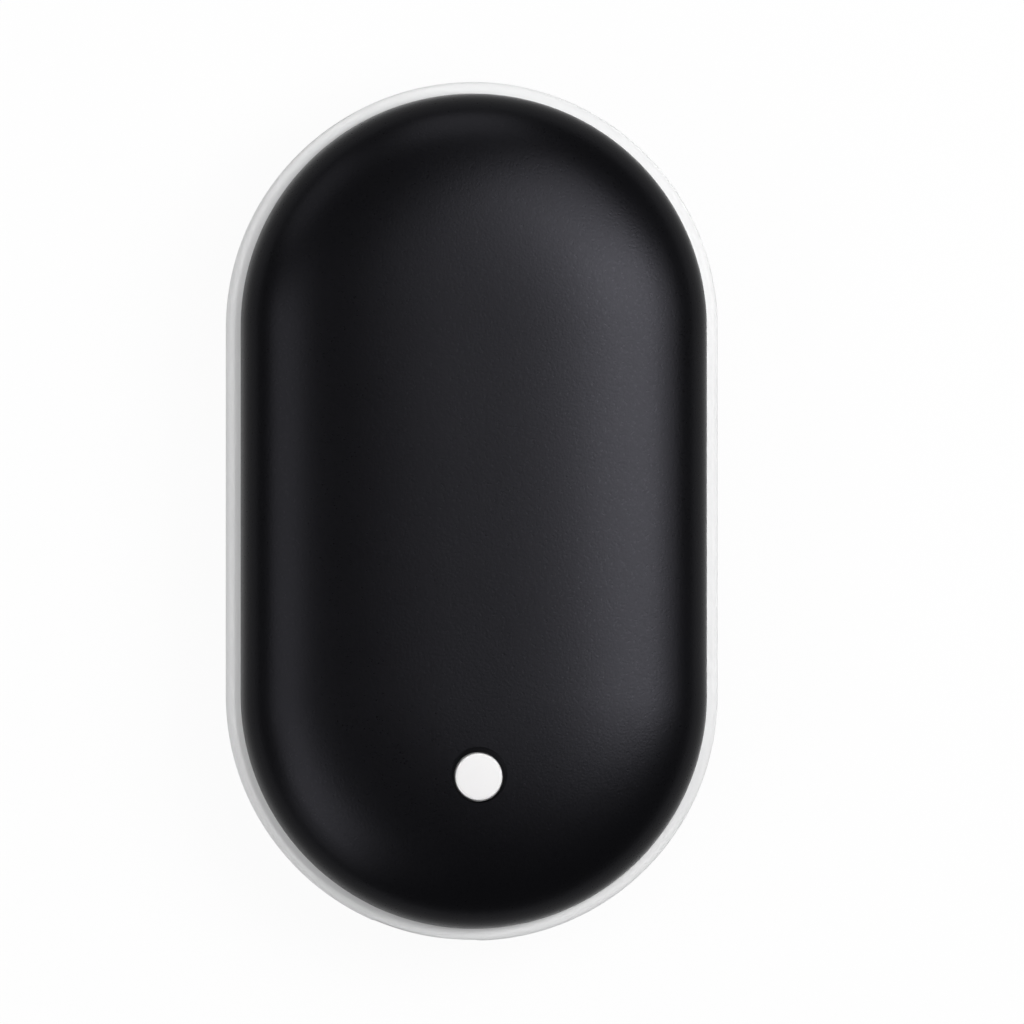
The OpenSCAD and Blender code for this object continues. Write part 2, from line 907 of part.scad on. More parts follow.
module board_screws() {
    color(steel)
        for (place = boss_places)
            translate([place[0], place[1], board_low - head_h])
                difference() {
                    union() {
                        cylinder(h = head_h, r = head_r);
                        cylinder(h = head_h + screw_l - 2 * touch, r = screw_r);
                    }
                    for (turn = [0, 90])
                        rotate([0, 0, turn])
                            cube([2 * head_r - 2 * head_slot_w, head_slot_w, head_h], center = true);
                }
}

module battery_lead_red() {
    z = tab_low_z + power_lead_d;
    color("firebrick")
        lead([[tab_x, pos_strip_y - strip_t, z],
              [tab_x, bulk_mid_y - wall_t, z],
              [tab_x, battery_land_y + power_lead_d, z + power_lead_d],
              [tab_x, battery_land_y, board_low - power_lead_d],
              [tab_x, battery_land_y, board_low - touch]], power_lead_d);
}

module battery_lead_black() {
    color("dimgray")
        lead([[0, neg_strip_y, tab_low_z + power_lead_d],
              [0, neg_strip_y - 2 * power_lead_d, tab_low_z + power_lead_d],
              [0, neg_strip_y - 7 * power_lead_d, groove_z],
              [0, end_y / 2, groove_z],
              [0, -end_y / 2, groove_z],
              [-tab_x / 4, cell_near_y, groove_z],
              [-tab_x, battery_land_y + 2 * power_lead_d, groove_z + 2 * power_lead_d],
              [-tab_x, battery_land_y, board_low - power_lead_d],
              [-tab_x, battery_land_y, board_low - touch]], power_lead_d);
}

// One lead from a terminal of the film, through the wire slot to a face of the board
module heater_lead(front, s) {
    x = s * heater_land_x;
    start_depth = track_far + crown_drop(term_x) + heater_lead_d / 2 + touch;
    board_z = front ? board_top + touch : board_low - touch;
    color(s > 0 ? "firebrick" : "dimgray")
        lead([[s * term_x, heater_start_y, level(front, start_depth)],
              [x, film_near_y, level(front, start_depth + heater_lead_d / 4)],
              [x, bulk_mid_y, level(front, start_depth + heater_lead_d)],
              [x, land_y, level(front, start_depth + 4 * heater_lead_d)],
              [x, land_y, board_z]], heater_lead_d);
}

module front_heater_leads() {
    for (s = [-1, 1])
        heater_lead(true, s);
}

module back_heater_leads() {
    for (s = [-1, 1])
        heater_lead(false, s);
}

// Sleeved pair of fine wires from a temperature bead to the board
module thermistor_lead(front) {
    x = sense_land_x;
    depth = bead_depth();
    board_z = front ? board_top + touch : board_low - touch;
    color("gainsboro")
        lead([[bead_x, bead_y - bead_l / 2, level(front, depth)],
              [bead_x, foam_near_y, level(front, depth)],
              [(bead_x + x) / 2, track_near_y, level(front, depth + sense_lead_d / 2)],
              [x, bulk_mid_y, level(front, notch_depth - sense_lead_d)],
              [x, sense_land_y, level(front, notch_depth + 2 * sense_lead_d)],
              [x, sense_land_y, board_z]], sense_lead_d);
}

module thermistor_leads() {
    for (front = [true, false])
        thermistor_lead(front);
}

front_shell();
back_shell();
middle_frame();
button_cap();
switch_base();
switch_cover();
switch_plunger();
snap_dome();
front_heater_film();
back_heater_film();
heater_track();  // front_heater_track
on_back() heater_track();  // back_heater_track
foam_pad(rib_top + touch);  // front_foam_pad
on_back() foam_pad(mid_z + cell_out_r + foam_seat);  // back_foam_pad
thermistor(true);  // front_thermistor
thermistor(false);  // back_thermistor
seal_bead();  // front_seal_bead
on_back() seal_bead();  // back_seal_bead
cell(-1);  // cell_left
cell(1);  // cell_right
sleeve(-1);  // sleeve_left
sleeve(1);  // sleeve_right
cell_insulator_rings();
nickel_strip(pos_strip_y - strip_t, tab_x);  // nickel_strip_positive
nickel_strip(neg_strip_y, 0);  // nickel_strip_negative
main_board();
output_port_shell();
output_port_tongue();
output_port_contacts();
charging_port_shell();
charging_port_tongue();
charging_port_contacts();
controller_chip();
power_switches();
power_inductor();
chip_capacitors();
chip_resistors();
status_leds();
board_screws();
battery_lead_red();
battery_lead_black();
front_heater_leads();
back_heater_leads();
thermistor_leads();
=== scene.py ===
# %% [markdown]
# A rechargeable hand warmer, dressed for a studio photograph.
# The construction comes as a fixed frame: 44 nodes at their real size and in their real place.
# This lesson models again, with finer surfaces, the pieces that the eye rests on, and gives every
# piece a finish of its own. Each step says first what the piece is and why it is made this way.

import json
import math

import bpy
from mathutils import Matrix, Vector

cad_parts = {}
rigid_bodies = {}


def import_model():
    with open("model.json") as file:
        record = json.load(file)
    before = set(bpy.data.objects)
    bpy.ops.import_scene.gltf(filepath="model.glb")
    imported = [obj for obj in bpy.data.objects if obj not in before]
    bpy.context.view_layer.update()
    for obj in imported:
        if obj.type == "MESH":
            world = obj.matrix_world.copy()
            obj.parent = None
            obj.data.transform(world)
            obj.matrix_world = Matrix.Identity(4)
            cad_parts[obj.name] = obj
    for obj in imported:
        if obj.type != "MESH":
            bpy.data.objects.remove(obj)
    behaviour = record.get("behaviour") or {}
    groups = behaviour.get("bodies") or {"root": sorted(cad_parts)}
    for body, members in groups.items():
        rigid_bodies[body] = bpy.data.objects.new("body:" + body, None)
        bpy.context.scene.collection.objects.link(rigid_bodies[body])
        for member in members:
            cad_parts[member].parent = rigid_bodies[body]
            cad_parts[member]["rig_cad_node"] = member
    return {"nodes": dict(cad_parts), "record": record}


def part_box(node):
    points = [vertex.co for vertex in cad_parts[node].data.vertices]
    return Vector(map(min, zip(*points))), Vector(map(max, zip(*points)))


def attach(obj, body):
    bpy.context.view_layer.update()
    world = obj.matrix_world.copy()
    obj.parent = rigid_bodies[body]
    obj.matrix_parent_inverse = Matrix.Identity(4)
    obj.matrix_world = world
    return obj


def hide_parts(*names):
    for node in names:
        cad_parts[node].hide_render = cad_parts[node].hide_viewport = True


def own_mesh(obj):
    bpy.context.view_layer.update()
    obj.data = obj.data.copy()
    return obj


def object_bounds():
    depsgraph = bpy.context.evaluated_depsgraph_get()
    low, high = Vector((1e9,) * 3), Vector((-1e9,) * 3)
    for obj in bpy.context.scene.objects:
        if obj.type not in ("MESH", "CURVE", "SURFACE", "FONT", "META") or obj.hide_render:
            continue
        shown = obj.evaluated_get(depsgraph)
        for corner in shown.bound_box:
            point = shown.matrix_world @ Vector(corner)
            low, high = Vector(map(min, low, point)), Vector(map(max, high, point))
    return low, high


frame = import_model()
cad_low, cad_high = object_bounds()
MM = 0.001
print("size in mm:", [round(side / MM, 1) for side in cad_high - cad_low])

# %% [markdown]
# Every outline of this object is drawn from two half circles and two straight sides, so a few
# numbers read from the frame's own boxes place all that follows. Walls and radii that a box
# can't tell are the sizes the real piece is pressed or moulded to.

# %% Sizes read from the frame
frame_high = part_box("middle_frame")[1]
shell_low, shell_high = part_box("front_shell")
HALF_W = frame_high.x
END_Y = frame_high.y - HALF_W
SHELL_HALF_W = shell_high.x
RIM_Z = shell_low.z
TOP_Z = shell_high.z
BACK_RIM_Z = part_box("back_shell")[1].z
SHELL_H = TOP_Z - RIM_Z
MID_Z = (RIM_Z + BACK_RIM_Z) / 2
print("half width", round(HALF_W / MM, 2), "mm, centre of an end", round(END_Y / MM, 2), "mm out")
print("rim", round(RIM_Z / MM, 2), "mm and middle", round(MID_Z / MM, 2), "mm high")

# %% [markdown]
# Shader nodes are easier to read as sums than as boxes and wires. The class below wraps one
# output of a node, so that a plain expression such as 0.4 + 0.1 * grain adds its Math nodes.
# Colours and vectors don't go through Math nodes, which would turn them grey. Roughness runs from 0,
# a mirror, to 1, chalk: a recipe starts at the gloss of the plain stuff and adds a little noise.


# %% One output of a node, for sums
class Flow:
    """An output of a shader node. A sum or a product with it adds the Math node that works it out."""

    def __init__(self, tree, socket):
        self.tree = tree
        self.socket = socket

    def maths(self, operation, *values):
        made = self.tree.nodes.new("ShaderNodeMath")
        made.operation = operation
        for socket, value in zip(made.inputs, values):
            plug(self.tree, socket, value)
        return Flow(self.tree, made.outputs[0])

    def __add__(self, other):
        return self.maths("ADD", self, other)

    __radd__ = __add__

    def __mul__(self, other):
        return self.maths("MULTIPLY", self, other)

    __rmul__ = __mul__

    def __gt__(self, other):
        return self.maths("GREATER_THAN", self, other)

    def __lt__(self, other):
        return self.maths("LESS_THAN", self, other)

    def held(self, low, high):
        return self.maths("MINIMUM", self.maths("MAXIMUM", self, low), high)


def plug(tree, socket, value):
    """Links a Flow to a socket, or sets the socket to a plain value."""
    if isinstance(value, Flow):
        tree.links.new(value.socket, socket)
    else:
        socket.default_value = value


print("sums of shader values are ready")


# %% A sheet of nodes
class NodeSheet:
    """The nodes of a material or of the world."""

    def __init__(self, tree):
        self.tree = tree

    def node(self, kind, settings=None, sockets=None, out=0):
        """Adds a node: its settings first, then the values or links of its sockets."""
        made = self.tree.nodes.new(kind)
        for name, value in (settings or {}).items():
            setattr(made, name, value)
        for name, value in (sockets or {}).items():
            plug(self.tree, made.inputs[name], value)
        return Flow(self.tree, made.outputs[out])

    def ray(self, kind):
        """1 for a ray of this kind, 0 for any other."""
        return self.node("ShaderNodeLightPath", out="Is " + kind + " Ray")


print("sheets of nodes are ready")


# %% A finish: one material with its Principled shader
# A Mix node has sockets for every type of data. These are the ones that it uses for colours.
MIX_FACTOR = 0
MIX_LOW = 6
MIX_HIGH = 7
MIX_RESULT = 2


class Finish(NodeSheet):
    """A material. What is the same all over is set on its shader; what varies is linked to it."""

    def __init__(self, name, constants):
        self.material = bpy.data.materials.new(name)
        self.material.use_nodes = True
        super().__init__(self.material.node_tree)
        self.shader = self.tree.nodes["Principled BSDF"]
        for socket, value in constants.items():
            self.shader.inputs[socket].default_value = value
        self.place = self.node("ShaderNodeTexCoord", out="Object")

    def feed(self, socket, value):
        """Gives the shader a value that varies over the surface."""
        plug(self.tree, self.shader.inputs[socket], value)
        return self

    def noise(self, size, detail=2.0, place=None):
        """Noise whose patches are about size across, from 0 to 1."""
        sockets = {"Vector": place or self.place, "Scale": 1 / size, "Detail": detail}
        return self.node("ShaderNodeTexNoise", sockets=sockets)

    def cells(self, size, feature):
        """A pattern of cells about size across: the distance to their middles or to their edges."""
        sockets = {"Vector": self.place, "Scale": 1 / size}
        return self.node("ShaderNodeTexVoronoi", {"feature": feature}, sockets, out="Distance")

    def blend(self, mask, low, high):
        """A colour between two, by a mask from 0 to 1."""
        sockets = {MIX_FACTOR: mask, MIX_LOW: (*low, 1), MIX_HIGH: (*high, 1)}
        return self.node("ShaderNodeMix", {"data_type": "RGBA"}, sockets, out=MIX_RESULT)

    def bump(self, height, depth, strength=1.0):
        """Lifts the surface by a height from 0 to 1 times depth."""
        sockets = {"Height": height, "Distance": depth, "Strength": strength}
        return self.feed("Normal", self.node("ShaderNodeBump", sockets=sockets))


print("finishes are ready")

# %% [markdown]
# The shells are aluminium under a matt black coat that is sprayed on and baked. From a hand's
# breadth it looks even. Close up it has a fine grain, which breaks a lamp's reflection into a
# soft broad sheen. The grains are a third of a millimetre across, and the gloss wanders a little.

# %% Matt black coat
COAT_CLOUD = 14 * MM
COAT_GRAIN = 0.3 * MM
COAT_GRAIN_H = 0.014 * MM


def matt_black_coat():
    constants = {"Specular IOR Level": 0.18, "Specular Tint": (0.88, 0.87, 1.0, 1.0)}
    paint = Finish("matt_black_coat", constants)
    cloud = paint.noise(COAT_CLOUD, detail=1.0)
    grain = paint.noise(COAT_GRAIN)
    paint.feed("Base Color", paint.blend(cloud, (0.0008, 0.0008, 0.001), (0.0014, 0.0014, 0.0018)))
    paint.feed("Roughness", 0.21 + 0.03 * cloud + 0.16 * grain)
    return paint.bump(grain, COAT_GRAIN_H)


SHELL_FINISH = matt_black_coat()
print("made", SHELL_FINISH.material.name)

# %% [markdown]
# The band and the button are white plastic, moulded in polished steel tools. Such plastic is
# never one flat white: it has faint flow marks and a very slight unevenness in its gloss.

# %% White moulded plastic
FLOW_MARK = 9 * MM
FLOW_SHADE = 0.965
WHITE_PORE = 0.35 * MM
WHITE_PORE_H = 0.004 * MM


def darker(shade, share):
    """A colour dimmed to a share of itself."""
    return [share * value for value in shade]


def white_moulding(name, shade, roughness):
    plastic = Finish(name, {"Specular IOR Level": 0.45})
    flow = plastic.noise(FLOW_MARK, detail=3.0)
    pores = plastic.noise(WHITE_PORE, detail=1.0)
    plastic.feed("Base Color", plastic.blend(flow, darker(shade, FLOW_SHADE), shade))
    plastic.feed("Roughness", roughness + 0.06 * flow + 0.03 * pores)
    return plastic.bump(pores, WHITE_PORE_H, strength=0.4)


# Painted light: the band's white is painted a little lighter and the button's a little darker than the
# one plastic they are made of. This evens out the shade that the domes cast on the band.
BAND_WHITE_PAINTED_LIGHTER = white_moulding("white_plastic_band_painted_lighter", (0.85, 0.85, 0.85), 0.34)
BUTTON_WHITE_PAINTED_DARKER = white_moulding("white_plastic_button_painted_darker", (0.78, 0.77, 0.77), 0.28)
print("made", BAND_WHITE_PAINTED_LIGHTER.material.name, "and", BUTTON_WHITE_PAINTED_DARKER.material.name)

# %% [markdown]
# Inside are the plain finishes of any small appliance: black moulding compound, plated and
# brushed steel, an amber polyimide film with its etched foil, foam, shrink sleeves, solder
# mask, gold contacts and silicone rubber. Each one is a short recipe of noise, gloss and bump.

# %% Black moulded plastic
MOULD_PORE = 0.12 * MM
MOULD_PORE_H = 0.008 * MM


def black_moulding():
    plastic = Finish("black_moulding", {"Specular IOR Level": 0.4})
    pores = plastic.noise(MOULD_PORE)
    plastic.feed("Base Color", plastic.blend(pores, (0.018, 0.018, 0.02), (0.035, 0.035, 0.037)))
    plastic.feed("Roughness", 0.45 + 0.15 * pores)
    return plastic.bump(pores, MOULD_PORE_H, strength=0.6)


print("black moulding has pores of", round(MOULD_PORE / MM, 2), "mm")

# %% Brushed and plated metals
BRUSH_LINE = 0.08 * MM
BRUSH_LINE_H = 0.003 * MM
BRUSH_STRETCH = 0.04
PATINA = 3 * MM
PATINA_SHADE = 0.86


def brushed_metal(name, shade, roughness, along):
    """Metal brushed along one axis: the noise is stretched that way."""
    metal = Finish(name, {"Metallic": 1.0})
    stretch = [1.0, 1.0, 1.0]
    stretch[along] = BRUSH_STRETCH
    place = metal.node("ShaderNodeMapping", sockets={"Vector": metal.place, "Scale": stretch})
    lines = metal.noise(BRUSH_LINE, place=place)
    patina = metal.noise(PATINA)
    metal.feed("Base Color", metal.blend(patina, darker(shade, PATINA_SHADE), shade))
    metal.feed("Roughness", roughness + 0.12 * lines)
    return metal.bump(lines, BRUSH_LINE_H, strength=0.5)


print("brushed lines are", round(BRUSH_LINE / BRUSH_STRETCH / MM, 2), "mm long")

# %% Amber film and blue sleeve
FILM_CLOUD = 6 * MM
FILM_CLOUD_H = 0.02 * MM
RIPPLE = 1.6 * MM
RIPPLE_H = 0.05 * MM
RIPPLE_STRETCH = 0.15


def amber_film():
    film = Finish("amber_polyimide", {"Coat Weight": 0.6, "Coat Roughness": 0.12})
    cloud = film.noise(FILM_CLOUD)
    film.feed("Base Color", film.blend(cloud, (0.42, 0.16, 0.02), (0.58, 0.26, 0.05)))
    film.feed("Roughness", 0.22 + 0.1 * cloud)
    return film.bump(cloud, FILM_CLOUD_H, strength=0.5)


def shrink_sleeve():
    sleeve = Finish("blue_shrink_sleeve", {"Coat Weight": 0.5, "Coat Roughness": 0.15})
    sockets = {"Vector": sleeve.place, "Scale": (1, RIPPLE_STRETCH, 1)}
    place = sleeve.node("ShaderNodeMapping", sockets=sockets)
    ripples = sleeve.noise(RIPPLE, place=place)
    sleeve.feed("Base Color", sleeve.blend(ripples, (0.02, 0.10, 0.30), (0.03, 0.14, 0.40)))
    sleeve.feed("Roughness", 0.25 + 0.12 * ripples)
    return sleeve.bump(ripples, RIPPLE_H, strength=0.4)


print("the sleeve's ripples are", round(RIPPLE / RIPPLE_STRETCH / MM, 1), "mm long")

# %% Foam and rubber
FOAM_CELL = 0.45 * MM
FOAM_CELL_H = 0.12 * MM
FOAM_GRAIN = 0.2 * MM
RUBBER_DUST = 0.5 * MM
RUBBER_DUST_H = 0.01 * MM
RUBBER_SHADE = 0.8


def open_foam():
    foam = Finish("open_cell_foam", {"Specular IOR Level": 0.2, "Sheen Weight": 0.15})
    cells = foam.cells(FOAM_CELL, "F1")
    # The middle of each cell, where the bump sinks its pit, is painted darker: this is painted shade in
    # the pits.
    foam.feed("Base Color", foam.blend(cells, (0.05, 0.05, 0.055), (0.17, 0.17, 0.18)))
    foam.feed("Roughness", 0.85 + 0.1 * foam.noise(FOAM_GRAIN))
    return foam.bump(cells, FOAM_CELL_H, strength=0.8)


def soft_rubber(name, shade, roughness):
    rubber = Finish(name, {"Specular IOR Level": 0.4})
    dust = rubber.noise(RUBBER_DUST, detail=3.0)
    rubber.feed("Base Color", rubber.blend(dust, darker(shade, RUBBER_SHADE), shade))
    rubber.feed("Roughness", roughness + 0.12 * dust)
    return rubber.bump(dust, RUBBER_DUST_H, strength=0.4)


print("the foam's cells are", round(FOAM_CELL / MM, 2), "mm wide")

# %% Board, chips and glass
COPPER_AREA = 2.4 * MM
COPPER_H = 0.02 * MM
COPPER_GAP_SHARE = 0.08
MASK_MOTTLE = 0.5 * MM
CERAMIC_SPECK = 0.1 * MM
CERAMIC_SPECK_H = 0.006 * MM
CERAMIC_SHADE = 0.75
GLASS_CLOUD = 0.8 * MM
GLASS_SHADE = 0.8


def solder_mask():
    """Green lacquer over areas of copper, which stand a little higher than the gaps between them."""
    mask = Finish("green_solder_mask", {"Coat Weight": 0.4, "Coat Roughness": 0.2})
    copper = mask.cells(COPPER_AREA, "DISTANCE_TO_EDGE") > COPPER_GAP_SHARE
    mask.feed("Base Color", mask.blend(copper, (0.006, 0.06, 0.028), (0.012, 0.11, 0.05)))
    mask.feed("Roughness", 0.3 + 0.08 * mask.noise(MASK_MOTTLE))
    return mask.bump(copper, COPPER_H, strength=0.6)


def fired_ceramic(name, shade, roughness):
    ceramic = Finish(name, {"Specular IOR Level": 0.45})
    speck = ceramic.noise(CERAMIC_SPECK, detail=3.0)
    ceramic.feed("Base Color", ceramic.blend(speck, darker(shade, CERAMIC_SHADE), shade))
    ceramic.feed("Roughness", roughness + 0.12 * speck)
    return ceramic.bump(speck, CERAMIC_SPECK_H, strength=0.5)


def clear_bead(name, shade):
    bead = Finish(name, {"Coat Weight": 0.7, "Coat Roughness": 0.06})
    cloud = bead.noise(GLASS_CLOUD)
    bead.feed("Base Color", bead.blend(cloud, darker(shade, GLASS_SHADE), shade))
    return bead.feed("Roughness", 0.12 + 0.1 * cloud)


print("the board's copper areas are about", round(COPPER_AREA / MM, 1), "mm wide")

# %% A finish for each of the record's material slots
FINISHES = {
    "shell_metal": SHELL_FINISH,
    "white_plastic": BAND_WHITE_PAINTED_LIGHTER,
    "button_plastic": BUTTON_WHITE_PAINTED_DARKER,
    "black_plastic": black_moulding(),
    "plated_steel": brushed_metal("plated_steel", (0.72, 0.72, 0.74), 0.24, 1),
    "amber_film": amber_film(),
    "track_foil": brushed_metal("etched_foil", (0.62, 0.58, 0.54), 0.32, 1),
    "grey_foam": open_foam(),
    "sensor_glass": clear_bead("sensor_glass", (0.42, 0.42, 0.44)),
    "seal_silicone": soft_rubber("grey_silicone", (0.32, 0.32, 0.33), 0.5),
    "cell_can": brushed_metal("cell_steel", (0.62, 0.63, 0.65), 0.3, 1),
    "blue_sleeve": shrink_sleeve(),
    "nickel": brushed_metal("nickel_strip", (0.70, 0.67, 0.60), 0.28, 0),
    "board_laminate": solder_mask(),
    "contact_gold": brushed_metal("gold_contacts", (0.90, 0.66, 0.26), 0.18, 1),
    "ferrite": fired_ceramic("ferrite", (0.11, 0.11, 0.115), 0.55),
    "chip_ceramic": fired_ceramic("chip_ceramic", (0.48, 0.34, 0.19), 0.5),
    "led_resin": clear_bead("led_resin", (0.85, 0.82, 0.60)),
    "red_insulation": soft_rubber("red_insulation", (0.48, 0.02, 0.02), 0.38),
    "black_insulation": soft_rubber("black_insulation", (0.02, 0.02, 0.021), 0.38),
    "white_insulation": soft_rubber("white_insulation", (0.72, 0.72, 0.70), 0.4),
}
SLOT_OF = {part["node"]: part["material_slot"] for part in frame["record"]["subparts"]}


def coat(piece, slot):
    """Gives a piece one material, all over."""
    piece.data.materials.clear()
    piece.data.materials.append(FINISHES[slot].material)


for node, piece in frame["nodes"].items():
    coat(piece, SLOT_OF[node])
print("finishes:", len(FINISHES), "for", len(SLOT_OF), "nodes")

# %% [markdown]
# The pieces below are modelled with the strokes that a hand uses in edit mode. An operator acts on
# all that is selected, so a piece starts with everything else deselected, and what is to be shaped
# is then picked by its place.

# %% Strokes of the modelling hand
HAIR = 0.002 * MM
SMOOTH_DEG = 30


def begin(name, add, **shape):
    """Adds a primitive by itself, with its place in its mesh, and opens it for editing."""
    bpy.ops.object.select_all(action="DESELECT")
    add(**shape)
    piece = bpy.context.object
    piece.name = piece.data.name = name
    bpy.ops.object.transform_apply(location=True, rotation=True, scale=True)
    bpy.ops.object.mode_set(mode="EDIT")
    bpy.ops.mesh.select_mode(type="VERT")
    bpy.ops.mesh.select_all(action="SELECT")
    return piece


def pick(piece, kind, test):
    """Selects the vertices, edges or faces whose corners all pass a test of their place."""
    bpy.ops.mesh.select_mode(type=kind)
    bpy.ops.mesh.select_all(action="DESELECT")
    bpy.ops.object.mode_set(mode="OBJECT")
    spots = piece.data.vertices
    rows = {"VERT": spots, "EDGE": piece.data.edges, "FACE": piece.data.polygons}[kind]
    for row in rows:
        corners = [row.index] if kind == "VERT" else row.vertices
        row.select = all(test(spots[corner].co) for corner in corners)
    bpy.ops.object.mode_set(mode="EDIT")


def pick_along(piece):
    """Selects the edges that run along the body."""
    bpy.ops.mesh.select_mode(type="EDGE")
    bpy.ops.mesh.select_all(action="DESELECT")
    bpy.ops.object.mode_set(mode="OBJECT")
    for edge in piece.data.edges:
        ends = [piece.data.vertices[corner].co for corner in edge.vertices]
        edge.select = abs(ends[0].y - ends[1].y) > HAIR
    bpy.ops.object.mode_set(mode="EDIT")


def close_up():
    """Merges what lies double, turns every face outwards and leaves edit mode."""
    bpy.ops.mesh.select_all(action="SELECT")
    bpy.ops.mesh.remove_doubles(threshold=HAIR)
    bpy.ops.mesh.normals_make_consistent(inside=False)
    bpy.ops.object.mode_set(mode="OBJECT")


def apply(piece, kind, **settings):
    """Adds a modifier with its settings and applies it at once."""
    bpy.ops.object.select_all(action="DESELECT")
    bpy.context.view_layer.objects.active = piece
    piece.select_set(True)
    bpy.ops.object.modifier_add(type=kind)
    modifier = piece.modifiers[-1]
    for name, value in settings.items():
        setattr(modifier, name, value)
    bpy.ops.object.modifier_apply(modifier=modifier.name)


def cut(piece, tool, operation="DIFFERENCE"):
    """Cuts a piece with a tool, or joins the two, and clears the tool away."""
    apply(piece, "BOOLEAN", operation=operation, object=tool, solver="EXACT")
    bpy.data.objects.remove(tool)


def hand_over(piece, body, node, smooth=SMOOTH_DEG):
    """Shades a finished piece, coats it, and says what it rides on and what it stands for."""
    bpy.ops.object.select_all(action="DESELECT")
    bpy.context.view_layer.objects.active = piece
    piece.select_set(True)
    bpy.ops.object.shade_smooth_by_angle(angle=math.radians(smooth))
    coat(piece, SLOT_OF[node])
    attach(piece, body)
    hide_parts(node)
    print(piece.name, "has", len(piece.data.polygons), "faces and stands for", node)


print("strokes are ready, and a hair is", round(HAIR / MM, 3), "mm")


# %% A section drawn with pen and compass
class Section:
    """A line drawn in an upright plane across the body, x to the side and z up."""

    def __init__(self, name, x, z, y=END_Y):
        """Sets the pen down: a small plane, merged to the one point at its middle."""
        self.y = y
        self.piece = begin(name, bpy.ops.mesh.primitive_plane_add, size=MM, location=(x, y, z))
        bpy.ops.mesh.merge(type="CENTER")

    def line(self, dx, dz):
        """Draws a straight line, so far to the side and so far up."""
        bpy.ops.mesh.extrude_region_move(TRANSFORM_OT_translate={"value": (dx, 0, dz)})
        return self

    def through(self, spots):
        """Draws on through a row of places, the first of which is where the pen stands."""
        for (x, z), (next_x, next_z) in zip(spots, spots[1:]):
            self.line(next_x - x, next_z - z)
        return self

    def arc(self, x, z, turn, steps):
        """Turns the pen about a centre, clockwise as it looks from the ports' end."""
        bpy.ops.mesh.spin(steps=steps, angle=turn, center=(x, self.y, z), axis=(0, -1, 0))
        return self

    def carried_round(self, steps, strides):
        """Carries the section round the body's outline: an end, a side, the other end and side."""
        bpy.ops.mesh.select_all(action="SELECT")
        for end in (1, -1):
            bpy.ops.mesh.spin(steps=steps, angle=math.pi, center=(0, end * END_Y, 0), axis=(0, 0, -1))
            for stride in range(strides):
                step = (0, -end * 2 * END_Y / strides, 0)
                bpy.ops.mesh.extrude_region_move(TRANSFORM_OT_translate={"value": step})
        return self.piece

    def turned(self, steps):
        """Turns the section once round an upright axis on the body's middle line, as on a lathe."""
        bpy.ops.mesh.select_all(action="SELECT")
        bpy.ops.mesh.spin(steps=steps, angle=2 * math.pi, center=(0, self.y, 0), axis=(0, 0, 1))
        return self.piece


def from_spine(spot):
    """Distance of a place from the middle line that joins the centres of the two round ends."""
    return math.hypot(spot.x, max(abs(spot.y) - END_Y, 0))


print("pen, compass and cutters are ready")

# %% [markdown]
# Each shell is a dome pressed from one aluminium sheet: a wide crown that runs into a tighter
# shoulder, and an edge that stands on the band. Arcs joined end to end would do, but a lamp's
# reflection shows the seam where one radius ends. A squared oval bends ever faster towards the rim
# and has no such seam. One half section of it is carried round the outline and given its wall
# inwards. The front has the button's hole, cut with a turned tool that flares at the mouth, because
# the sheet is drawn in there over a round lip. The back is the same blank, mirrored.

# %% Sizes of the pressed shells
SHELL_WALL = 0.7 * MM
RIM_ROUND = 0.12 * MM
DOME_POWER = 2.8
DOME_STEPS = 44
END_STEPS = 96
SHELL_SIDE_STEPS = 16
RIM_STEPS = 3


def dome_spots():
    """Places along half a section of the dome, from its middle line to the rim: a soft squared oval."""
    turns = [step / DOME_STEPS * math.pi / 2 for step in range(DOME_STEPS + 1)]
    lean = 2 / DOME_POWER
    return [(SHELL_HALF_W * math.sin(t) ** lean, RIM_Z + SHELL_H * math.cos(t) ** lean) for t in turns]


def dome_z(out):
    """Height of the dome at this distance from its middle line."""
    return RIM_Z + SHELL_H * (1 - (out / SHELL_HALF_W) ** DOME_POWER) ** (1 / DOME_POWER)


falls = [round((TOP_Z - dome_z(out * MM)) / MM, 2) for out in (5, 10, 15, 20, 25)]
print("the dome falls", falls, "mm at 5, 10, 15, 20 and 25 mm from its middle line")

# %% Sizes of the button's hole
button_low, button_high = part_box("button_cap")
BUTTON_Y = (button_low.y + button_high.y) / 2
FACE_Z = dome_z(-BUTTON_Y - END_Y)
HOLE_R = 3.0 * MM
MOUTH_R = 3.5 * MM
LIP_ROUND = 0.5 * MM
LIP_TURN = math.radians(50)
MOUTH_OVER = 1 * MM
LIP_STEPS = 6
HOLE_STEPS = 160
print("button", round(BUTTON_Y / MM, 2), "mm along, shell there", round(FACE_Z / MM, 2), "mm high")


# %% Shells
def shell_blank(name):
    piece = Section(name, 0, TOP_Z).through(dome_spots()).carried_round(END_STEPS, SHELL_SIDE_STEPS)
    close_up()
    apply(piece, "SOLIDIFY", thickness=SHELL_WALL, offset=-1, use_even_offset=True)
    bpy.ops.object.mode_set(mode="EDIT")
    pick(piece, "EDGE", lambda spot: spot.z < RIM_Z + HAIR and from_spine(spot) > SHELL_HALF_W - HAIR)
    bpy.ops.mesh.bevel(offset=RIM_ROUND, segments=RIM_STEPS)
    close_up()
    return piece


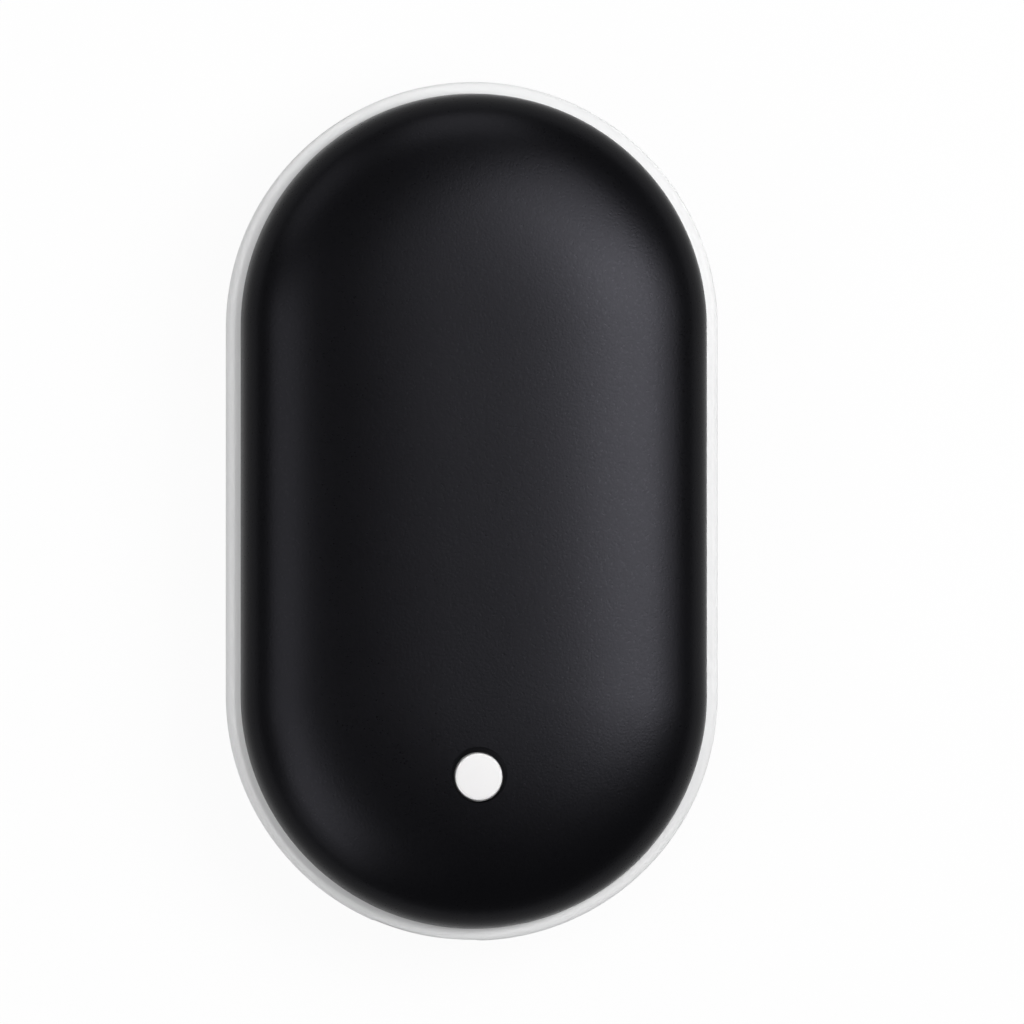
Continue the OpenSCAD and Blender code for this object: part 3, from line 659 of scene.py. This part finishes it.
def hole_tool():
    """A turned cutter for the button's hole: straight, then round over the lip, then a flat cone."""
    spread = LIP_ROUND * (1 - math.cos(LIP_TURN))
    cone_z = FACE_Z - (MOUTH_R - HOLE_R - spread) / math.tan(LIP_TURN)
    lip_z = cone_z - LIP_ROUND * math.sin(LIP_TURN)
    cone_out = spread + MOUTH_OVER * math.tan(LIP_TURN)
    tool = Section("hole_tool", 0, RIM_Z, BUTTON_Y)
    tool.line(HOLE_R, 0).line(0, lip_z - RIM_Z)
    tool.arc(HOLE_R + LIP_ROUND, lip_z, LIP_TURN, LIP_STEPS)
    tool.line(cone_out - spread, MOUTH_OVER).line(-HOLE_R - cone_out, 0)
    piece = tool.turned(HOLE_STEPS)
    close_up()
    return piece


front_cover = shell_blank("front_cover")
cut(front_cover, hole_tool())
hand_over(front_cover, "housing", "front_shell")

back_cover = shell_blank("back_cover")
bpy.ops.object.mode_set(mode="EDIT")
bpy.ops.mesh.select_all(action="SELECT")
bpy.ops.transform.resize(value=(1, 1, -1), center_override=(0, 0, MID_Z))
close_up()
hand_over(back_cover, "housing", "back_shell")

# %% [markdown]
# The white band is one moulding: the ring that shows between the shells, and inside it the deck,
# the walls and the ribs that carry the board and the cells. The ring is drawn as a section and
# carried round, with well rounded outer edges. What it carries is kept from the frame: a copy of
# the CAD node is trimmed to the inside of the ring and joined to it.

# %% Sizes of the band and the ports' windows
BAND_HALF = RIM_Z - MID_Z
BAND_IN = 26.05 * MM
BAND_ROUND = 0.9 * MM
LIP_OUT = 27.27 * MM
LIP_H = 1.8 * MM
CORE_OVERLAP = 0.1 * MM
PORT_GAP = 0.15 * MM
CAN_ROUND = 0.6 * MM
CHARGE_ROUND = 1.7 * MM
WINDOW_OVER = 6 * MM
ROUND_STEPS = 8
BAND_SIDE_STEPS = 6
CORE_STEPS = 48
print("band", round(2 * BAND_HALF / MM, 2), "mm high, ring", round((HALF_W - BAND_IN) / MM, 2), "mm wide")


# %% Ring of the band
def band_ring():
    ring = Section("white_band", BAND_IN, MID_Z - BAND_HALF - LIP_H)
    ring.line(LIP_OUT - BAND_IN, 0)
    ring.line(0, LIP_H)
    ring.line(HALF_W - BAND_ROUND - LIP_OUT, 0)
    ring.arc(HALF_W - BAND_ROUND, MID_Z - BAND_HALF + BAND_ROUND, -math.pi / 2, ROUND_STEPS)
    ring.line(0, 2 * (BAND_HALF - BAND_ROUND))
    ring.arc(HALF_W - BAND_ROUND, MID_Z + BAND_HALF - BAND_ROUND, -math.pi / 2, ROUND_STEPS)
    ring.line(LIP_OUT - HALF_W + BAND_ROUND, 0)
    ring.line(0, LIP_H)
    ring.line(BAND_IN - LIP_OUT, 0)
    ring.line(0, -2 * (BAND_HALF + LIP_H))
    bpy.ops.mesh.select_all(action="SELECT")
    bpy.ops.mesh.remove_doubles(threshold=HAIR)
    piece = ring.carried_round(END_STEPS, BAND_SIDE_STEPS)
    close_up()
    return piece


def window_tool(node, round_r):
    """A cutter for a port's window, drawn round the port's own box."""
    low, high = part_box(node)
    gap = Vector((PORT_GAP, 0, PORT_GAP))
    low, high = low - gap, high + gap
    low.y -= WINDOW_OVER
    add = bpy.ops.mesh.primitive_cube_add
    tool = begin(node + "_window", add, size=1, location=(low + high) / 2, scale=high - low)
    pick_along(tool)
    bpy.ops.mesh.bevel(offset=round_r, segments=ROUND_STEPS)
    close_up()
    return tool


def inside_of_frame():
    """A copy of the CAD frame, merged and trimmed to what lies inside the ring."""
    bpy.ops.object.select_all(action="DESELECT")
    source = frame["nodes"]["middle_frame"]
    bpy.context.view_layer.objects.active = source
    source.select_set(True)
    bpy.ops.object.duplicate()
    inside = bpy.context.object
    del inside["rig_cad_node"]
    bpy.ops.object.mode_set(mode="EDIT")
    close_up()
    core = Section("core", 0, cad_low.z)
    core.line(BAND_IN + CORE_OVERLAP, 0).line(0, cad_high.z).line(-BAND_IN - CORE_OVERLAP, 0)
    trim = core.carried_round(CORE_STEPS, 1)
    close_up()
    cut(inside, trim, "INTERSECT")
    return inside


white_band = band_ring()
cut(white_band, window_tool("output_port_shell", CAN_ROUND + PORT_GAP))
cut(white_band, window_tool("charging_port_shell", CHARGE_ROUND))
cut(white_band, inside_of_frame(), "UNION")
hand_over(white_band, "housing", "middle_frame")

# %% [markdown]
# The button is turned in one go: stem, flange that stops it under the shell, and a cap whose edge
# is rounded off. Its face is very slightly domed, which gives it the soft shading of the real one.

# %% Sizes of the button
CAP_TOP_Z = button_high.z
STEM_Z = button_low.z
FLANGE_R = button_high.x
CAP_R = 2.88 * MM
CAP_ROUND = 0.22 * MM
CAP_DOME = 0.03 * MM
FLANGE_UP = 7.3 * MM
FLANGE_T = 0.8 * MM
STEM_R = 2 * MM
EDGE_BREAK = 0.1 * MM
FACE_STEPS = 5
CAP_STEPS = 128
print("the cap clears its hole by", round((HOLE_R - CAP_R) / MM, 2), "mm all round")


# %% Button
def push_button():
    flange_high = STEM_Z + FLANGE_UP
    edge_z = CAP_TOP_Z - CAP_DOME - CAP_ROUND
    cap = Section("push_button", 0, STEM_Z, BUTTON_Y)
    cap.line(STEM_R - EDGE_BREAK, 0).line(EDGE_BREAK, EDGE_BREAK)
    cap.line(0, flange_high - FLANGE_T - STEM_Z - EDGE_BREAK)
    cap.line(FLANGE_R - STEM_R - EDGE_BREAK, 0).line(EDGE_BREAK, EDGE_BREAK)
    cap.line(0, FLANGE_T - 2 * EDGE_BREAK).line(-EDGE_BREAK, EDGE_BREAK)
    cap.line(CAP_R - FLANGE_R + EDGE_BREAK, 0)
    cap.line(0, edge_z - flange_high)
    cap.arc(CAP_R - CAP_ROUND, edge_z, -math.pi / 2, ROUND_STEPS)
    face_half = CAP_R - CAP_ROUND
    face_r = (face_half**2 + CAP_DOME**2) / (2 * CAP_DOME)
    cap.arc(0, CAP_TOP_Z - face_r, -math.asin(face_half / face_r), FACE_STEPS)
    piece = cap.turned(CAP_STEPS)
    close_up()
    return piece


hand_over(push_button(), "button", "button_cap")

# %% [markdown]
# The switch under the button has a disc of spring steel that stands up as a shallow dome. The
# plunger presses it nearly flat, and it snaps back. One arc is turned, given its thickness inwards,
# and its foot is set level.

# %% Sizes of the snap disc
snap_low, snap_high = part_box("snap_dome")
SNAP_SHEET = 0.08 * MM
SNAP_ARC_STEPS = 12
SNAP_STEPS = 64
print("the disc stands", round((snap_high.z - snap_low.z) / MM, 2), "mm high")


# %% Snap disc
def snap_disc(low, high):
    rise, reach = high.z - low.z, high.x
    ball_r = (reach**2 + rise**2) / (2 * rise)
    line = Section("snap_disc", 0, high.z, BUTTON_Y)
    line.arc(0, high.z - ball_r, math.asin(reach / ball_r), SNAP_ARC_STEPS)
    disc = line.turned(SNAP_STEPS)
    close_up()
    apply(disc, "SOLIDIFY", thickness=SNAP_SHEET, offset=-1, use_even_offset=True)
    bpy.ops.object.mode_set(mode="EDIT")
    pick(disc, "VERT", lambda spot: spot.z < low.z - HAIR)
    bpy.ops.transform.resize(value=(1, 1, 0), center_override=(0, 0, low.z))
    close_up()
    return disc


steel_disc = snap_disc(snap_low, snap_high)
hand_over(steel_disc, "housing", "snap_dome")
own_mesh(steel_disc)

# %% [markdown]
# Each port is a can folded from plated sheet. The wide one takes a cable's plug and has springs cut
# free in its roof and floor, bent inwards so that they grip. The narrow one is round ended. A cube
# as large as the node's box is rounded along its length, opened at the mouth and given its wall
# inwards. A spring is a strip that is bent by moving its free end inwards.

# %% Sizes of the cans and their springs
CAN_SHEET = 0.3 * MM
SPRING_W = 1.7 * MM
SPRING_SLIT = 0.3 * MM
SPRING_APART = 6 * MM
SPRING_IN = 2.6 * MM
SPRING_DIP = 0.3 * MM
SPRING_WINDOW_L = 5.5 * MM
print("each spring is", round((SPRING_WINDOW_L - SPRING_SLIT) / MM, 2), "mm long")


# %% Cans of the two ports
def port_can(name, node, round_r):
    low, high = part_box(node)
    middle, sides = (low + high) / 2, high - low
    can = begin(name, bpy.ops.mesh.primitive_cube_add, size=1, location=middle, scale=sides)
    pick_along(can)
    bpy.ops.mesh.bevel(offset=round_r, segments=ROUND_STEPS)
    pick(can, "FACE", lambda spot: spot.y < low.y + HAIR)
    bpy.ops.mesh.delete(type="FACE")
    close_up()
    apply(can, "SOLIDIFY", thickness=CAN_SHEET, offset=-1, use_even_offset=True)
    return can


def strip(name, middle, sides):
    piece = begin(name, bpy.ops.mesh.primitive_cube_add, size=1, location=middle, scale=sides)
    close_up()
    return piece


def add_springs(can, low, high):
    """Cuts four windows in the can and sets a bent spring in each, joined at its root."""
    for up in (1, -1):
        sheet_z = (high.z if up > 0 else low.z) - up * CAN_SHEET / 2
        for side in (-1, 1):
            x = (low.x + high.x) / 2 + side * SPRING_APART / 2
            near_y = low.y + SPRING_IN
            middle = Vector((x, near_y + SPRING_WINDOW_L / 2, sheet_z))
            sides = Vector((SPRING_W + 2 * SPRING_SLIT, SPRING_WINDOW_L, 4 * CAN_SHEET))
            cut(can, strip("spring_window", middle, sides))
            spring_l = SPRING_WINDOW_L - SPRING_SLIT + CAN_SHEET
            middle.y = near_y + SPRING_SLIT + spring_l / 2
            spring = strip("spring", middle, (SPRING_W, spring_l, CAN_SHEET - 2 * HAIR))
            bpy.ops.object.mode_set(mode="EDIT")
            tip_y = middle.y - spring_l / 2
            pick(spring, "VERT", lambda spot: spot.y < tip_y + HAIR)
            bpy.ops.transform.translate(value=(0, 0, -up * SPRING_DIP))
            bpy.ops.object.mode_set(mode="OBJECT")
            cut(can, spring, "UNION")


output_low, output_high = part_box("output_port_shell")
output_can = port_can("output_port_can", "output_port_shell", CAN_ROUND)
add_springs(output_can, output_low, output_high)
hand_over(output_can, "housing", "output_port_shell")

charging_can = port_can("charging_port_can", "charging_port_shell", CHARGE_ROUND - PORT_GAP - HAIR)
hand_over(charging_can, "housing", "charging_port_shell")

# %% [markdown]
# A foam pad presses each heating film against its shell. It is a die-cut sheet: its outer face
# follows the dome, its inner face is flat, and its cut edges are soft. A sharp block is drawn and
# cut first, with the slot for the temperature bead. A fine voxel remesh and a smooth then turn
# every edge over, as foam does, and leave a mesh dense enough for the pores.

# %% Sizes of the foam pads
FOAM_SHY = 0.1 * MM
FOAM_FLAT = 5 * MM
FOAM_CROWN_R = 88.2 * MM
SLOT_ROOM = 0.5 * MM
FOAM_END_STEPS = 32
FOAM_SIDE_STEPS = 4
FOAM_VOXEL = 0.28 * MM
FOAM_PASSES = 5
FOAM_SOFTEN = 0.5
FOAM_SHADE_DEG = 80
print("the pads lie", round(FOAM_SHY / MM, 2), "mm inside the room that the frame leaves them")


# %% Foam pads
def foam_sheet(name, node, front):
    low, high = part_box(node)
    top_z = high.z if front else low.z
    base_z = low.z if front else high.z
    down = 1 if front else -1
    half = high.x - FOAM_SHY
    turn = math.asin((half - FOAM_FLAT) / FOAM_CROWN_R)
    sheet = Section(name, 0, top_z)
    sheet.line(FOAM_FLAT, 0)
    sheet.arc(FOAM_FLAT, top_z - down * FOAM_CROWN_R, down * turn, ROUND_STEPS)
    side = FOAM_CROWN_R - FOAM_CROWN_R * math.cos(turn)
    sheet.line(0, base_z - top_z + down * side)
    sheet.line(-half, 0)
    piece = sheet.carried_round(FOAM_END_STEPS, FOAM_SIDE_STEPS)
    close_up()
    bpy.ops.object.mode_set(mode="EDIT")
    bpy.ops.mesh.select_all(action="SELECT")
    cut_at = (0, low.y + FOAM_SHY, 0)
    bpy.ops.mesh.bisect(plane_co=cut_at, plane_no=(0, 1, 0), use_fill=True, clear_inner=True)
    close_up()
    return piece


def bead_slot(node):
    """A cutter for the slot that the temperature bead and its leads lie in."""
    low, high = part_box(node)
    pad_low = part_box("front_foam_pad")[0]
    near_y = pad_low.y - SLOT_ROOM
    middle = ((low.x + high.x) / 2, (near_y + high.y + SLOT_ROOM) / 2, MID_Z)
    sides = (high.x - low.x + 2 * SLOT_ROOM, high.y + SLOT_ROOM - near_y, 2 * cad_high.z)
    tool = begin(node + "_slot", bpy.ops.mesh.primitive_cube_add, size=1, location=middle, scale=sides)
    close_up()
    return tool


for side, front in (("front", True), ("back", False)):
    pad = foam_sheet(side + "_foam_sheet", side + "_foam_pad", front)
    cut(pad, bead_slot(side + "_thermistor"))
    apply(pad, "REMESH", mode="VOXEL", voxel_size=FOAM_VOXEL)
    apply(pad, "SMOOTH", factor=FOAM_SOFTEN, iterations=FOAM_PASSES)
    hand_over(pad, "housing", side + "_foam_pad", smooth=FOAM_SHADE_DEG)

# %% [markdown]
# The camera looks down from almost straight above. It leans four degrees to the left and a little
# under one towards the button's end, so that high places drift right and up in the picture and the
# band shows wider on the left and below. The lens is very long: the button and the band lie where a
# view from far away puts them. The photograph's own outline gives the scale.

# %% Camera
PHOTO_PX = 1024
OUTLINE_LEFT_PX = 225.07
OUTLINE_RIGHT_PX = 718.17
OUTLINE_TOP_PX = 82.7
OUTLINE_BOTTOM_PX = 940.5
CAMERA_FAR = 3.0
CLIP_NEAR = 0.05
CLIP_FAR = 20.0
LEAN_LEFT = math.radians(4.0)
LEAN_NEAR = math.radians(0.8)
px_per_m = (OUTLINE_BOTTOM_PX - OUTLINE_TOP_PX) / (2 * frame_high.y)
off_x = PHOTO_PX / 2 - (OUTLINE_LEFT_PX + OUTLINE_RIGHT_PX) / 2
off_y = (OUTLINE_TOP_PX + OUTLINE_BOTTOM_PX) / 2 - PHOTO_PX / 2
aim = Vector((off_x / px_per_m, off_y / px_per_m, MID_Z))
bpy.ops.object.camera_add(rotation=(LEAN_NEAR, -LEAN_LEFT, 0))
camera = bpy.context.object
camera.location = aim + CAMERA_FAR * (camera.rotation_euler.to_matrix() @ Vector((0, 0, 1)))
camera.data.lens = camera.data.sensor_width * CAMERA_FAR * px_per_m / PHOTO_PX
camera.data.clip_start = CLIP_NEAR
camera.data.clip_end = CLIP_FAR
bpy.context.scene.camera = camera
print("lens", round(camera.data.lens, 1), "mm, scale", round(px_per_m * MM, 3), "px per mm")

# %% [markdown]
# The object lies on white paper. In the photograph the paper is as good as pure white, which a lamp
# alone would only give by bleaching the object too. So where the camera sees the paper, straight or
# mirrored, nineteen parts in twenty of it are a plain glow, and the rest is real paper that takes
# the object's shadow. For the light that falls from the paper on the object, it is all real paper.

# %% Floor
FLOOR_SIDE = 20.0
PAPER_FIBRE = 40 * MM
PAPER_GLOW = 0.95
PAPER_MIRRORED = 0.6
bpy.ops.object.select_all(action="DESELECT")
bpy.ops.mesh.primitive_plane_add(size=FLOOR_SIDE, location=(0, 0, 0))
floor = bpy.context.object
floor.name = "studio_floor"


def paper_floor():
    """White paper that the camera sees as white, gloss as pale grey, and that still takes a shadow."""
    paper = Finish("white_paper", {"Roughness": 0.9, "Specular IOR Level": 0.1})
    fibre = paper.noise(PAPER_FIBRE)
    paper.feed("Base Color", paper.blend(fibre, (0.78, 0.78, 0.78), (0.80, 0.80, 0.80)))
    straight = paper.ray("Camera")
    mirrored = paper.ray("Glossy") + paper.ray("Transmission")
    seen = (straight + mirrored).held(0, 1)
    strength = (straight + PAPER_MIRRORED * mirrored).held(0, 1)
    glow = paper.node("ShaderNodeEmission", sockets={"Color": (1, 1, 1, 1), "Strength": strength})
    # The first socket is the share of the last one. The other two have the same name.
    sockets = {0: PAPER_GLOW * seen, 1: Flow(paper.tree, paper.shader.outputs[0]), 2: glow}
    mixed = paper.node("ShaderNodeMixShader", sockets=sockets)
    plug(paper.tree, paper.tree.nodes["Material Output"].inputs["Surface"], mixed)
    return paper


floor.data.materials.append(paper_floor().material)
print("floor", FLOOR_SIDE, "m")

# %% [markdown]
# The light is that of a small white studio: a faint glow from all round, and soft square lamps on
# a dome close round the object. The strongest stand high on the right and make the broad
# highlight. Those on the left are weaker, and none stands straight behind the button's end, which
# stays dark. Low down, the camera and what mirrors the room see a white wall past the paper's edge.

# %% World
SKY_SHADE = (0.96, 0.98, 1.0, 1)
SKY_GLOW = 0.16
WALL_TOP = math.radians(4)


def studio_world():
    """A faint even light, and a white wall that only the camera and reflections see."""
    world = bpy.data.worlds.new("studio")
    world.use_nodes = True
    sheet = NodeSheet(world.node_tree)
    sky = sheet.tree.nodes["Background"]
    sky.inputs["Color"].default_value = SKY_SHADE
    seen = (sheet.ray("Camera") + sheet.ray("Glossy") + sheet.ray("Transmission")).held(0, 1)
    around = sheet.node("ShaderNodeTexCoord", out="Generated")
    height = sheet.node("ShaderNodeSeparateXYZ", sockets={"Vector": around}, out="Z")
    wall = seen * (height < math.sin(WALL_TOP))
    plug(sheet.tree, sky.inputs["Strength"], SKY_GLOW + (1 - SKY_GLOW) * wall)
    return world


bpy.context.scene.world = studio_world()
print("sky glows at", SKY_GLOW, "and the wall ends", round(math.degrees(WALL_TOP), 1), "degrees up")

# %% Lamps
LAMP_FAR = 0.45
LAMP_SIDE = 0.2
# Degrees up from the paper, degrees round from the right-hand side, and watts.
LAMPS = {
    "high_right": (62, 9, 0.69),
    "mid_right": (48, 9, 0.32),
    "high_far_right": (62, 45, 0.42),
    "top_far_right": (76, 45, 0.20),
    "mid_far": (30, 90, 0.21),
    "mid_far_left": (30, 135, 0.12),
    "mid_left": (48, 180, 0.24),
    "mid_near_left": (48, 218, 0.29),
    "low_near_left": (30, 225, 0.12),
}


def softbox(name, elevation, azimuth, power):
    """A soft square lamp at two angles in degrees, round the object and facing it."""
    up, turn = math.radians(elevation), math.radians(azimuth)
    level = math.cos(up)
    place = LAMP_FAR * Vector((math.cos(turn) * level, math.sin(turn) * level, math.sin(up)))
    bpy.ops.object.light_add(type="AREA", location=place)
    lamp = bpy.context.object
    lamp.name = name
    lamp.data.size = LAMP_SIDE
    lamp.data.energy = power
    lamp.visible_camera = False
    lamp.rotation_mode = "QUATERNION"
    lamp.rotation_quaternion = (-place).to_track_quat("-Z", "Y")


for name, (elevation, azimuth, power) in LAMPS.items():
    softbox(name, elevation, azimuth, power)
print("lamps:", len(LAMPS), "of", round(sum(lamp[2] for lamp in LAMPS.values()), 2), "W in all")

# %% Look
bpy.context.scene.view_settings.view_transform = "Standard"
print("colours are shown plain")

# %% The closing line
print("the scene is set")
